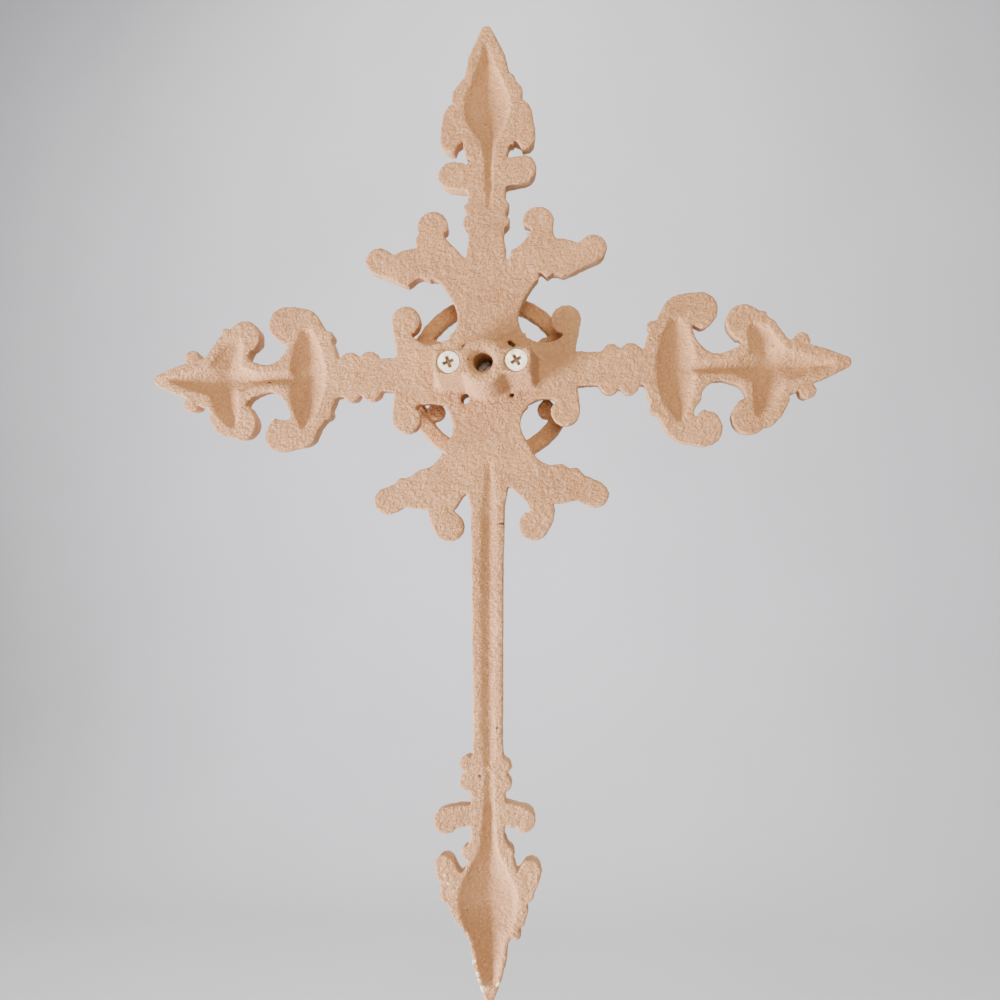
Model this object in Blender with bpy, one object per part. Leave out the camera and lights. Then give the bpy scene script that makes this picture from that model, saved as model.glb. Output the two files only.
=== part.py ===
"""Cast iron wall cross with leaf finials, scrolls and a ring on its front.

Metres, +Z up. The front faces -Y and the back faces +Y, towards the wall. The origin is the centre
of the hanging bore on the back face of the boss, so the wall is the plane Y = 0.
The outline is drawn in millimetres as it is seen from behind: u to the right, v up, from the bore.
"""

import math

import bmesh
import bpy
import numpy as np
from mathutils import Matrix, Vector
from mathutils.geometry import convex_hull_2d, delaunay_2d_cdt

MM = 0.001

# Overall height, and the height at which the outline below is drawn, in millimetres. The drawing
# is made and meshed at its own size, and every point is placed at FIT times its u and v.
CROSS_HEIGHT = 445.0
DRAWN_HEIGHT = 445.0
FIT = CROSS_HEIGHT / DRAWN_HEIGHT

# Casting, in millimetres.
EDGE_THICKNESS = 7.5
CROWN = 3.2
CROWN_RUN = 4.5
WALL_DRAFT = 0.7
LEAF_SWELL = 3.0
HOLLOW_DEPTH = 5.6
HOLLOW_WALL_RUN = 7.5
HOLLOW_STEEPNESS = 1.7
SPINE_REACH = 1.3
GROOVE_DEPTH = 2.8
GROOVE_MAX_RADIUS = 4.1
RIB_HEIGHT = 1.4
RIB_HALF_WIDTH = 2.2
BUTTON_HEIGHT = 1.6
BUTTON_SHARE = 0.55
BUTTON_CROWN = 0.6

# Boss on the back, in millimetres.
BOSS_HEIGHT = 19.0
BOSS_DRAFT = 2.2
BOSS_ROOT = 3.0
BOSS_EDGE = 0.6
BOSS_FILLET = 1.6
BOSS_CENTRE_RADIUS = 10.4
BOSS_EAR_HALF_HEIGHT = 5.7
BOSS_HALF_LENGTH = 21.4
BOSS_EAR_CORNER = 1.6
BOSS_CORNER_SIDES = 4
BORE_DIAMETER = 8.8
BORE_CHAMFER = 2.1
BOSS_SIDES = 32

# Screws, in millimetres.
SCREW_SPACING = 29.8
SCREW_HEAD_DIAMETER = 9.9
SCREW_SHANK_DIAMETER = 4.8
SCREW_LENGTH = 38.0
SCREW_CONE_HEIGHT = 2.9
SCREW_RIM = 0.4
SCREW_SINK = 0.2
SCREW_TURN = 25.0
SCREW_POINT = 1.5
POINT_SHARE = 0.6
RECESS_WIDTH = 5.5
RECESS_SLOT = 1.1
RECESS_DEPTH = 2.2
CENTRE_HEAD_DIAMETER = 7.8
CENTRE_HEAD_THICKNESS = 2.6
CENTRE_SHANK_DIAMETER = 3.2
CENTRE_SCREW_LENGTH = 20.0
CENTRE_SINK = 15.6
CENTRE_SLOT = 1.2
CENTRE_SLOT_DEPTH = 1.2
CENTRE_TURN = 45.0
CENTRE_POINT = 1.0

# Ring on the front, in millimetres.
RING_OUTER_RADIUS = 41.9
RING_WIDTH = 7.6
RING_SETBACK = 14.0
RING_THICKNESS = 7.0
RING_CROWN = 1.8
RING_EASE = 0.8
HUB_RADIUS = 9.5
HUB_SIDES = 18
SEAT_LENGTH = 40.0
SEAT_INSET = 0.3
SPOKE_HALF_WIDTH = 6.0
SPOKE_ROUND = 2.6
CURL_RADIUS = 4.4
CURL_ANGLE = 30.0
CURL_NECK = 3.4
CURL_NECK_SHARE = 0.7
CURL_NECK_DRIFT = 0.4
CURL_SIDES = 12
ROSETTE_HEIGHT = 2.4

# The flat pad that the spokes sit on reaches this far past them, in millimetres.
PAD_MARGIN = 1.0

# Clearances, and how far a helper shape runs past what it cuts or joins, in millimetres.
CLEARANCE = 0.3
OVERRUN = 1.0

# Mesh steps, in the drawing's millimetres.
ARC_STEP = 3.2
SHORTEST_EDGE = 1.5
SMALLEST_GAP = 3.0
EASE_STEPS = 4
WELD = 1e-4
RIM_STEP = 1.9
RIM_CLEAR = 1.5
RIM_SPACING = 3.9
RUN_GAP = 1.3
RIB_STEP = 9.0
RIB_MARGIN = 2.5
EYE_STEP = 4.0
EYE_CROWN_STEP = 6.0
PAD_STEP = 5.0
GRID_STEP = 9.0
FLOOR_STEP = 3.6
FLOOR_GAP = 3.0
WALL_STEP = 1.8
ROUND_SIDES = 20
RING_SIDES = 36

# Lobes of the outline, each a run of discs (u, v, radius) that the iron sweeps through.
MIDDLE_BODY = [
    [(-0.3, 165.1, 3.0), (0.0, 149.5, 9.4), (0.2, 133.0, 12.5), (0.0, 118.0, 14.0), (-0.2, 110.0, 11.0)],
    [(-0.2, 110.0, 11.0), (-0.2, 104.0, 10.0), (0.0, 92.0, 9.2), (-0.4, 62.0, 8.4), (0.0, 44.0, 12.0)],
    [(0.0, 44.0, 12.0), (0.0, 30.0, 16.5), (0.0, 0.0, 16.5), (0.0, -30.0, 18.5), (0.0, -42.0, 12.0)],
    [(0.0, -42.0, 12.0), (0.2, -62.0, 7.9), (0.0, -86.0, 7.4), (0.0, -166.0, 6.8), (0.2, -192.0, 7.8)],
    [(0.2, -192.0, 7.8), (0.0, -208.0, 7.4), (0.8, -218.0, 10.8), (0.5, -228.0, 13.5), (0.3, -236.0, 15.5)],
    [(0.3, -236.0, 15.5), (0.5, -249.0, 8.7), (0.5, -259.0, 7.6), (0.8, -268.5, 4.6), (0.5, -274.7, 2.2)],
]

# Runs in pairs. The first value is the pattern's drift (du, dv): the right one lies that far from
# its place and the left one as far the other way, as the hand-made pattern has them.
PAIRED_BODY = [
    ((-1.2, 1.0), [(50.3, 55.4, 6.5), (43.5, 51.6, 5.6), (36.5, 51.8, 8.8), (24.3, 51.0, 10.5)]),
    ((-1.2, 1.0), [(24.3, 51.0, 10.5), (10.0, 40.0, 12.0)]),
    ((-0.2, -0.4), [(26.6, 63.5, 5.8), (8.0, 36.0, 9.6)]),
    ((-1.0, -0.6), [(38.0, 22.0, 6.2), (36.5, 14.0, 6.0), (32.0, 4.0, 8.5)]),
    ((-1.0, 0.6), [(36.9, -19.0, 6.6), (36.6, -12.0, 6.2), (33.0, -3.0, 8.5)]),
    ((0.0, 0.0), [(10.0, 0.0, 16.0), (28.0, 0.0, 14.6)]),
    ((0.0, 0.2), [(28.0, 0.0, 8.5), (47.4, 0.0, 7.8), (72.0, 0.0, 8.0)]),
    ((0.3, 0.2), [(96.0, 25.2, 7.8), (89.6, 22.8, 10.6), (84.6, 9.0, 13.2), (83.3, 0.0, 13.8)]),
    ((0.4, -0.4), [(96.3, -27.2, 7.8), (89.4, -23.8, 10.6), (84.6, -9.0, 13.2), (83.3, 0.0, 13.8)]),
    ((0.0, 0.2), [(83.3, 0.0, 12.0), (96.0, -0.4, 12.0), (105.0, -0.6, 9.0), (117.0, -0.6, 11.0)]),
    ((0.0, 0.2), [(117.0, -0.6, 11.0), (134.0, -0.6, 11.4)]),
    ((0.0, 0.0), [(134.0, -0.6, 11.4), (146.8, -0.3, 7.6), (158.0, 0.0, 3.2)]),
    ((-0.4, 0.0), [(122.8, 13.6, 8.8), (126.5, 2.0, 12.0)]),
    ((-0.2, -0.6), [(123.2, -15.2, 9.0), (126.5, -2.0, 12.0)]),
    ((1.1, 1.1), [(47.4, -58.3, 6.3), (40.8, -55.0, 5.8), (31.0, -53.6, 8.8), (22.0, -50.0, 11.0)]),
    ((1.1, 1.1), [(22.0, -50.0, 11.0), (8.0, -40.0, 13.0)]),
    ((1.6, 0.0), [(23.7, -64.0, 5.4), (8.0, -38.0, 8.6)]),
    ((0.0, 0.0), [(15.0, -228.0, 5.6), (6.0, -236.0, 9.0)]),
]

# Round bays that bite into the body, and the lobes that stand free of them.
PAIRED_BAYS = [
    ((0.4, -0.4), [(29.8, 35.5, 10.0), (26.3, 25.3, 12.2)]),
    ((-0.4, 0.6), [(31.0, -33.7, 10.7), (27.1, -25.1, 11.5)]),
    ((-0.6, -0.2), [(109.0, 13.7, 6.6), (104.6, 14.4, 8.7), (99.6, 15.8, 5.6)]),
    ((0.4, 0.0), [(109.0, -15.0, 6.6), (104.2, -15.5, 8.7), (96.9, -19.8, 4.3)]),
    ((0.9, 2.3), [(13.2, -212.0, 3.2), (13.0, -217.5, 2.7)]),
]
PAIRED_LOBES = [
    ((0.2, 0.4), [(5.0, 139.0, 7.0), (8.2, 138.4, 5.8)]),
    ((0.0, 0.5), [(6.0, 134.0, 8.0), (8.8, 132.5, 8.4)]),
    ((0.3, 0.0), [(6.0, 124.0, 10.0), (11.8, 121.8, 9.8), (16.9, 111.6, 5.9)]),
    ((0.1, 0.8), [(5.0, 93.5, 6.6), (16.7, 95.4, 6.7)]),
    ((-0.2, 0.0), [(7.3, 78.7, 3.7)]),
    ((-0.4, 0.0), [(7.5, 71.4, 3.9)]),
    ((-0.6, -0.4), [(27.5, 48.2, 4.6)]),
    ((-1.4, 0.8), [(36.6, 48.6, 5.6)]),
    ((-0.9, 0.0), [(24.8, 70.0, 7.5)]),
    ((-1.0, -1.0), [(37.3, 24.2, 7.0)]),
    ((-1.0, 1.0), [(36.7, -20.3, 6.8)]),
    ((0.6, 0.1), [(56.0, 6.1, 5.3), (55.2, -7.2, 5.2)]),
    ((0.2, 0.2), [(65.0, 6.3, 5.1), (64.3, -7.7, 4.9)]),
    ((-0.1, 0.1), [(96.2, 25.6, 8.4), (89.6, 22.8, 10.6)]),
    ((0.4, -0.6), [(96.6, -27.6, 8.3), (89.4, -23.8, 10.6)]),
    ((0.0, 0.0), [(75.7, 18.8, 3.1)]),
    ((0.0, -0.5), [(76.0, -18.3, 3.3)]),
    ((-0.5, 0.0), [(116.0, 19.8, 7.9), (122.8, 13.6, 8.8)]),
    ((-0.2, -0.8), [(117.2, -22.6, 8.1), (123.2, -15.2, 9.0)]),
    ((-0.9, -0.1), [(141.2, 10.3, 3.9)]),
    ((0.0, -0.1), [(142.0, -12.0, 4.1)]),
    ((0.0, 1.1), [(30.5, -49.5, 5.4)]),
    ((0.3, 1.7), [(39.0, -51.8, 5.2)]),
    ((1.8, 0.2), [(19.3, -71.0, 7.0), (22.8, -66.5, 6.0)]),
    ((-0.9, -0.5), [(7.9, -176.8, 3.9)]),
    ((-0.9, 0.1), [(7.7, -184.2, 4.3)]),
    ((-1.5, 0.8), [(17.0, -200.2, 5.8), (9.5, -197.8, 4.9), (2.0, -198.0, 5.0)]),
    ((0.0, 0.3), [(8.8, -214.0, 3.2)]),
    ((0.0, -0.4), [(18.9, -220.5, 4.8), (15.6, -229.0, 5.4)]),
    ((-0.8, 1.4), [(18.2, -231.2, 2.7), (13.0, -232.0, 5.0)]),
    ((0.3, 0.0), [(14.0, -238.0, 3.6), (6.0, -240.0, 7.0)]),
    ((1.0, 0.3), [(12.6, -241.6, 3.5), (6.0, -243.0, 6.0)]),
]

# Lobes without a twin, where the hand-made pattern is fuller on one side.
LONE_LOBES = [
    [(12.4, -247.9, 2.3), (7.0, -245.0, 4.0)],
    [(-31.8, 64.7, 2.3), (-31.2, 60.8, 2.4)],
    [(-69.9, -9.3, 1.9)],
    [(-18.0, -17.0, 1.6)],
    [(18.0, -16.6, 1.3)],
    [(-16.7, 16.4, 1.4)],
    [(17.2, 16.5, 1.3)],
    [(123.8, 22.6, 2.2)],
    [(132.3, -16.0, 2.3), (129.4, -22.2, 1.9), (124.5, -26.5, 2.2)],
    [(135.5, -11.8, 2.3)],
    [(-125.6, 22.1, 2.5)],
    [(-130.3, -18.3, 2.8), (-127.4, -22.8, 3.2), (-122.9, -25.8, 3.2)],
    [(-136.0, -11.3, 2.7)],
    [(-97.7, -28.1, 7.7)],
]

# Nicks and narrow slots, mostly where a scroll curls back on its stem.
NICKS = [
    [(10.1, 57.0, 1.5), (9.6, 52.3, 0.6)],
    [(-10.5, 57.0, 1.2), (-9.6, 53.9, 0.6)],
    [(25.5, 42.6, 1.4), (24.2, 45.9, 0.6)],
    [(10.2, -53.7, 0.9), (12.8, -57.4, 1.4), (15.8, -61.0, 1.8), (17.6, -63.5, 1.4), (19.3, -65.4, 0.6)],
    [(-10.6, -57.8, 0.9), (-9.7, -56.5, 0.6)],
    [(-14.3, -63.0, 0.8), (-15.8, -64.3, 0.6)],
    [(-95.9, -14.9, 1.4), (-94.3, -19.4, 1.5), (-99.5, -19.1, 1.3)],
    [(-98.4, 13.2, 1.9), (-96.8, 15.7, 0.6)],
    [(-111.7, 11.9, 2.0), (-113.2, 11.7, 1.3)],
    [(-113.5, -12.3, 1.3), (-114.6, -13.5, 0.7)],
    [(-75.6, -24.1, 2.2), (-77.2, -26.5, 2.4), (-79.2, -30.1, 2.1)],
    [(93.4, 18.6, 0.6), (94.4, 16.6, 1.2), (96.4, 14.9, 2.0), (99.0, 15.5, 1.6), (101.5, 17.7, 0.7)],
    [(112.6, 10.3, 1.1), (114.1, 11.1, 0.7)],
    [(97.4, -17.4, 2.0), (94.7, -19.6, 1.4), (93.6, -21.6, 1.0), (93.1, -23.0, 0.6)],
    [(97.4, -17.4, 2.0), (99.3, -19.0, 1.8), (101.2, -20.0, 1.1)],
    [(114.2, -13.8, 1.1), (115.5, -15.4, 0.6)],
    [(114.2, -13.8, 1.1), (112.6, -16.0, 0.9)],
    [(-10.5, -204.4, 0.8), (-13.3, -204.9, 1.1), (-15.0, -206.1, 0.6)],
    [(11.1, -203.3, 0.6), (12.7, -203.3, 0.9), (14.4, -204.4, 0.6)],
    [(-20.8, -227.6, 1.3), (-19.1, -228.3, 0.6)],
    [(22.7, -228.3, 1.5), (21.6, -230.8, 1.4)],
    [(-13.8, 106.4, 1.4), (-12.6, 108.8, 1.3), (-11.6, 111.0, 0.6)],
    [(-11.1, 102.7, 1.0), (-9.0, 101.7, 0.8)],
    [(-9.9, 101.1, 1.0), (-10.4, 99.5, 0.7)],
    [(14.9, 105.6, 1.7), (14.2, 107.6, 1.4), (13.2, 109.9, 0.8)],
    [(16.2, 68.0, 1.4), (17.4, 67.2, 1.7), (19.3, 66.6, 1.4), (20.1, 65.5, 1.1)],
    [(-17.4, 67.2, 1.2), (-19.5, 66.8, 0.8)],
]

# Hollows in the back, drawn the same way.
MIDDLE_HOLLOWS = [
    [(-0.2, 158.0, 1.2), (0.0, 143.5, 5.8), (0.3, 129.0, 11.0), (0.3, 122.0, 9.6), (1.0, 112.0, 4.4)],
    [(0.3, 122.0, 9.6), (1.0, 112.0, 4.4), (1.0, 100.0, 2.2)],
    [(0.6, -208.0, 3.4), (0.4, -217.0, 5.4), (0.4, -226.0, 10.0), (0.3, -236.0, 13.0), (0.6, -249.0, 7.2)],
    [(0.6, -249.0, 7.2), (0.8, -262.0, 4.8), (0.8, -272.0, 1.4)],
]
PAIRED_HOLLOWS = [
    [(153.0, -0.3, 1.4), (140.0, -0.8, 5.4), (125.5, -0.6, 8.0), (111.0, -0.6, 3.8)],
    [(125.5, -0.6, 8.0), (111.0, -0.6, 3.8), (98.0, -0.6, 3.3), (90.0, -0.4, 4.0)],
    [(126.5, 2.0, 8.5), (123.0, 11.5, 6.0), (119.8, 16.8, 2.8)],
    [(126.5, -2.5, 8.5), (124.5, -13.5, 6.0), (121.8, -20.8, 3.2)],
    [(86.0, 23.6, 1.9), (85.6, 11.0, 7.2), (85.2, 0.0, 8.9), (85.6, -12.0, 7.3), (86.8, -23.0, 2.3)],
]
GROOVES = [
    [(1.0, 100.0, 2.2), (1.2, 80.0, 1.6), (1.2, 63.0, 0.9)],
    [(0.9, -42.0, 1.6), (0.8, -58.0, 3.4), (0.6, -90.0, 3.9), (0.5, -164.0, 3.3)],
    [(0.6, -90.0, 3.9), (0.5, -164.0, 3.3), (0.9, -181.0, 2.2), (0.6, -208.0, 3.4)],
]

# Ribs on the front, each a run of points (u, v), and the raised eyes of the scrolls.
MIDDLE_RIBS = [[(0, 160), (0, 64)], [(0, -66), (0, -196)], [(0, -206), (0, -271)]]
PAIRED_RIBS = [
    [(2, 118), (12, 128)],
    [(2, 108), (14, 114)],
    [(3, -228), (13, -222)],
    [(3, -238), (11, -235)],
    [(46, 0), (76, 0)],
    [(84, 0), (152, 0)],
    [(84, 2), (88, 21)],
    [(84, -2), (88, -22)],
    [(128, 1), (119, 17)],
    [(128, -1), (120, -19)],
    [(14, 40), (30, 52), (44, 53)],
    [(16, -42), (30, -52), (42, -56)],
]
PAIRED_EYES = [
    (16.7, 95.4, 6.7),
    (50.3, 55.4, 6.5),
    (24.8, 70.0, 7.5),
    (37.3, 24.2, 7.0),
    (36.7, -20.3, 6.8),
    (96.2, 25.6, 8.6),
    (96.3, -27.6, 8.2),
    (116.0, 19.8, 7.9),
    (117.2, -22.6, 8.0),
    (47.4, -58.3, 6.3),
    (19.3, -71.0, 7.0),
    (17.3, -200.2, 5.4),
    (18.9, -220.5, 4.8),
]

# Small holes that run through the casting beside the boss: (u, v, half length, half width, turn).
# They start a little outside the back plane, to cut the fillet at the boss's root too.
FLAW_HOLES = [
    (-10.2, -12.4, 2.7, 2.0, 80.0),
    (11.4, -11.2, 1.2, 1.0, 0.0),
    (-10.6, 12.3, 2.1, 0.8, 28.0),
    (11.2, 12.6, 2.3, 1.0, -38.0),
]
FLAW_OVERRUN = 4.0


def clear_scene():
    for obj in list(bpy.data.objects):
        bpy.data.objects.remove(obj, do_unlink=True)


def collection(name):
    made = bpy.data.collections.new(name)
    bpy.context.scene.collection.children.link(made)
    return made


def material(name, colour, roughness, metallic):
    made = bpy.data.materials.new(name)
    made.use_nodes = True
    shader = made.node_tree.nodes["Principled BSDF"]
    shader.inputs["Base Color"].default_value = (*colour, 1.0)
    shader.inputs["Roughness"].default_value = roughness
    shader.inputs["Metallic"].default_value = metallic
    made.diffuse_color = (*colour, 1.0)
    return made


def placed(u, v, depth):
    """A point of the drawing, a depth in front of the wall, in metres."""
    return Vector((-u * MM, -depth * MM, v * MM))


def mirrored(discs, drift=(0.0, 0.0)):
    """A lobe on the right and its twin on the left, each moved by the drift."""
    du, dv = drift
    right = [(u + du, v + dv, r) for u, v, r in discs]
    left = [(-u + du, v - dv, r) for u, v, r in discs]
    return [right, left]


def paired(table):
    """Every run of a table of pairs, right and left."""
    return [run for drift, discs in table for run in mirrored(discs, drift)]


def circle(u, v, radius, step=ARC_STEP):
    count = max(8, round(2 * math.pi * radius / step))
    turns = [2 * math.pi * i / count for i in range(count)]
    return [Vector((u + radius * math.cos(t), v + radius * math.sin(t))) for t in turns]


def swept(discs):
    """Outlines of the stretches between each disc of a lobe and the next."""
    pairs = list(zip(discs, discs[1:])) or [(discs[0], discs[0])]
    hulls = []
    for first, last in pairs:
        rim = circle(*first) + circle(*last)
        hulls.append([rim[i] for i in convex_hull_2d(rim)])
    return hulls


def union_loops(body, bays=(), lobes=(), nicks=()):
    """The outline of a body less its bays, with its lobes, less its nicks, as closed runs of points."""
    points, faces = [], []
    counts = []
    for group in (body, bays, lobes, nicks):
        for discs in group:
            for hull in swept(discs):
                faces.append(list(range(len(points), len(points) + len(hull))))
                points.extend(hull)
        counts.append(len(faces))
    body_end, bay_end, lobe_end, _ = counts
    merged, _, cells, _, _, owners = delaunay_2d_cdt(points, [], faces, 1, WELD)
    onward = set()
    for cell, owner in zip(cells, owners):
        in_body = any(face < body_end for face in owner)
        in_bay = any(body_end <= face < bay_end for face in owner)
        in_lobe = any(bay_end <= face < lobe_end for face in owner)
        in_nick = any(face >= lobe_end for face in owner)
        if (in_lobe or (in_body and not in_bay)) and not in_nick:
            onward.update(zip(cell, cell[1:] + cell[:1]))
    rim = {a: b for a, b in onward if (b, a) not in onward}
    loops = []
    while rim:
        here = next(iter(rim))
        loop = []
        while here in rim:
            loop.append(merged[here])
            here = rim.pop(here)
        loops.append(spaced(loop))
    return [loop for loop in loops if abs(area(loop)) > SMALLEST_GAP]


def area(loop):
    """The area inside a closed run of points, negative for a gap in the iron."""
    return sum(loop[i - 1].x * loop[i].y - loop[i].x * loop[i - 1].y for i in range(len(loop))) / 2


def eased(discs):
    """A run with more discs between its own, on a smooth curve through them."""
    rows = [Vector(disc) for disc in discs]
    rows = [rows[0] * 2 - rows[1]] + rows + [rows[-1] * 2 - rows[-2]]
    fuller = []
    for a, b, c, d in zip(rows, rows[1:], rows[2:], rows[3:]):
        for i in range(EASE_STEPS):
            t = i / EASE_STEPS
            bend = (c - a) * t + (a * 2 - b * 5 + c * 4 - d) * t**2 + (b * 3 - a - c * 3 + d) * t**3
            fuller.append(tuple(b + bend / 2))
    return fuller + [tuple(rows[-2])]


def turn_at(loop, i):
    """How sharply a closed run of points turns at one of them."""
    before = loop[i] - loop[i - 1]
    after = loop[(i + 1) % len(loop)] - loop[i]
    return abs(before.angle_signed(after, 0.0))


def spaced(loop):
    """The loop without its shortest edges, keeping the sharper of the two ends."""
    loop = list(loop)
    while len(loop) > 8:
        lengths = [(loop[i] - loop[i - 1]).length for i in range(len(loop))]
        i = int(np.argmin(lengths))
        if lengths[i] >= SHORTEST_EDGE:
            break
        softer = i if turn_at(loop, i) < turn_at(loop, i - 1) else i - 1
        loop.pop(softer)
    return loop


def distances(points, runs, closed=True):
    """The distance from each point to the nearest of some runs of points."""
    points = np.asarray(points, float)
    best = np.full(len(points), 1e9)
    for run in runs:
        run = np.array([(p[0], p[1]) for p in run], float)
        ends = np.roll(run, -1, axis=0) if closed else run[1:]
        starts = run if closed else run[:-1]
        for a, b in zip(starts, ends):
            along = b - a
            share = np.clip((points - a) @ along / max(along @ along, 1e-12), 0, 1)
            best = np.minimum(best, np.hypot(*(points - a - share[:, None] * along).T))
    return best


def inside(points, loops):
    """Whether each point lies within the loops, counting crossings."""
    points = np.asarray(points, float)
    odd = np.zeros(len(points), bool)
    for loop in loops:
        run = np.array([(p[0], p[1]) for p in loop], float)
        for a, b in zip(run, np.roll(run, -1, axis=0)):
            spans = (a[1] > points[:, 1]) != (b[1] > points[:, 1])
            if a[1] == b[1]:
                continue
            cross = a[0] + (points[:, 1] - a[1]) * (b[0] - a[0]) / (b[1] - a[1])
            odd ^= spans & (points[:, 0] < cross)
    return odd


def inward(loop):
    """The unit normal into the iron at each point of a loop."""
    normals = []
    for i, point in enumerate(loop):
        along = (loop[(i + 1) % len(loop)] - loop[i - 1]).normalized()
        normals.append(Vector((-along.y, along.x)))
    return normals


def spread(points, loops, nearest, apart):
    """Those points that lie in the iron, clear of its outline and of each other."""
    points = np.array([(p[0], p[1]) for p in points], float)
    free = inside(points, loops) & (distances(points, loops) >= nearest)
    kept = []
    for point in points[free]:
        if all((point[0] - q[0]) ** 2 + (point[1] - q[1]) ** 2 >= apart**2 for q in kept):
            kept.append(point)
    return kept


def grid(loops, step):
    """Points in rows, each row half a step on from the last."""
    every = np.array([(p[0], p[1]) for loop in loops for p in loop])
    low, high = every.min(axis=0), every.max(axis=0)
    points = []
    for row, v in enumerate(np.arange(low[1], high[1], step * 0.866)):
        shift = step / 2 if row % 2 else 0.0
        points.extend((u + shift, v) for u in np.arange(low[0], high[0], step))
    return points


def along(run, step):
    """Points along an open run, a step apart."""
    points = []
    for a, b in zip(run, run[1:]):
        a, b = Vector(a[:2]), Vector(b[:2])
        count = max(1, round((b - a).length / step))
        points.extend(a.lerp(b, i / count) for i in range(count))
    return points + [Vector(run[-1][:2])]


def beside(run, step, offset):
    """A run of points on each side of a run."""
    centre = along(run, step)
    sides = ([], [])
    for i, point in enumerate(centre):
        ahead = centre[min(i + 1, len(centre) - 1)] - centre[max(i - 1, 0)]
        across = Vector((-ahead.y, ahead.x)).normalized() * offset
        sides[0].append(point + across)
        sides[1].append(point - across)
    return sides


def clear_runs(runs, loops, nearest):
    """The stretches of some runs that stay in the iron, clear of its outline."""
    kept = []
    for run in runs:
        middles = [(a + b) / 2 for a, b in zip(run, run[1:])]
        free = inside(run, loops) & (distances(run, loops) >= nearest)
        reached = inside(middles, loops) & (distances(middles, loops) >= nearest)
        stretch = []
        for i, point in enumerate(run):
            if stretch and not (free[i] and reached[i - 1]):
                kept.append(stretch)
                stretch = []
            if free[i]:
                stretch.append(point)
        kept.append(stretch)
    return [stretch for stretch in kept if len(stretch) > 1]


def filled(loops, runs, points):
    """Triangles that fill the loops, with edges along the runs and corners at the points."""
    corners = [Vector(p[:2]) for loop in loops for p in loop]
    edges = []
    for loop in loops:
        first = len(edges)
        edges += [(first + i, first + (i + 1) % len(loop)) for i in range(len(loop))]
    for run in runs:
        edges += [(len(corners) + i, len(corners) + i + 1) for i in range(len(run) - 1)]
        corners += [Vector((p[0], p[1])) for p in run]
    corners += [Vector((p[0], p[1])) for p in points]
    merged, _, cells, origins, _, _ = delaunay_2d_cdt(corners, edges, [], 0, WELD)
    middles = [sum((merged[i] for i in cell), Vector((0, 0))) / 3 for cell in cells]
    kept = inside(middles, loops)
    place = {old: new for new, olds in enumerate(origins) for old in olds}
    return merged, [cell for cell, keep in zip(cells, kept) if keep], place


def plate(loops, front, back, front_depth, back_depth, draft):
    """A closed mesh between a front and a back surface over one outline.

    Front and back are each a pair: runs that carry edges, and single points.
    """
    mesh = bmesh.new()
    rim_count = sum(len(loop) for loop in loops)
    pulls = [normal for loop in loops for normal in inward(loop)]
    rims = []
    for (runs, points), depth, is_front in ((front, front_depth, True), (back, back_depth, False)):
        corners, cells, place = filled(loops, runs, points)
        depths = depth(np.array([(p.x, p.y) for p in corners]))
        shift = {}
        if is_front:
            shift = {place[i]: pulls[i] * draft for i in range(rim_count)}
        verts = {}
        for cell in cells:
            for i in cell:
                if i not in verts:
                    at = corners[i] + shift.get(i, Vector((0, 0)))
                    verts[i] = mesh.verts.new(placed(at.x * FIT, at.y * FIT, depths[i]))
            facing = cell if is_front else cell[::-1]
            mesh.faces.new([verts[i] for i in facing])
        rims.append([verts[place[i]] for i in range(rim_count)])
    front_rim, back_rim = rims
    start = 0
    for loop in loops:
        count = len(loop)
        for i in range(count):
            a, b = start + i, start + (i + 1) % count
            mesh.faces.new([back_rim[a], back_rim[b], front_rim[b], front_rim[a]])
        start += count
    bmesh.ops.recalc_face_normals(mesh, faces=mesh.faces)
    bmesh.ops.triangulate(mesh, faces=mesh.faces)
    return mesh


def rounded(share):
    """A quarter-round rise from 0 to 1."""
    share = np.clip(share, 0, 1)
    return np.sqrt(1 - (1 - share) ** 2)


def as_object(mesh, name, into, paint):
    data = bpy.data.meshes.new(name)
    mesh.to_mesh(data)
    mesh.free()
    obj = bpy.data.objects.new(name, data)
    into.objects.link(obj)
    if paint:
        data.materials.append(paint)
    data.shade_smooth()
    data.set_sharp_from_angle(angle=math.radians(35))
    return obj


def turned(u, v, stations, sides=ROUND_SIDES, is_ring=False):
    """A closed turned piece along Y, from (depth, radius) stations. A ring's profile closes on itself."""
    mesh = bmesh.new()
    ends = [] if is_ring else [(stations[0][0], 0.0)], [] if is_ring else [(stations[-1][0], 0.0)]
    profile = ends[0] + list(stations) + ends[1]
    verts = [mesh.verts.new(placed(u + radius, v, depth)) for depth, radius in profile]
    pairs = list(zip(verts, verts[1:])) + ([(verts[-1], verts[0])] if is_ring else [])
    bmesh.ops.spin(
        mesh,
        geom=verts + [mesh.edges.new(pair) for pair in pairs],
        cent=placed(u, v, 0.0),
        axis=Vector((0, 1, 0)),
        angle=2 * math.pi,
        steps=sides,
        use_merge=True,
    )
    bmesh.ops.remove_doubles(mesh, verts=mesh.verts, dist=1e-6)
    bmesh.ops.recalc_face_normals(mesh, faces=mesh.faces)
    return mesh


def oval(u, v, half_length, half_width, near, far, turn):
    """An oval rod along Y, turned about its own middle."""
    mesh = bmesh.new()
    bmesh.ops.create_cone(mesh, cap_ends=True, segments=10, radius1=1.0, radius2=1.0, depth=1.0)
    along_y = Matrix.Rotation(math.pi / 2, 4, "X")
    size = Matrix.Diagonal((half_length * MM, (far - near) * MM, half_width * MM, 1.0))
    spin = Matrix.Rotation(math.radians(turn), 4, "Y")
    move = Matrix.Translation(placed(u, v, (near + far) / 2))
    bmesh.ops.transform(mesh, matrix=move @ spin @ size @ along_y, verts=mesh.verts)
    bmesh.ops.recalc_face_normals(mesh, faces=mesh.faces)
    return mesh


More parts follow.
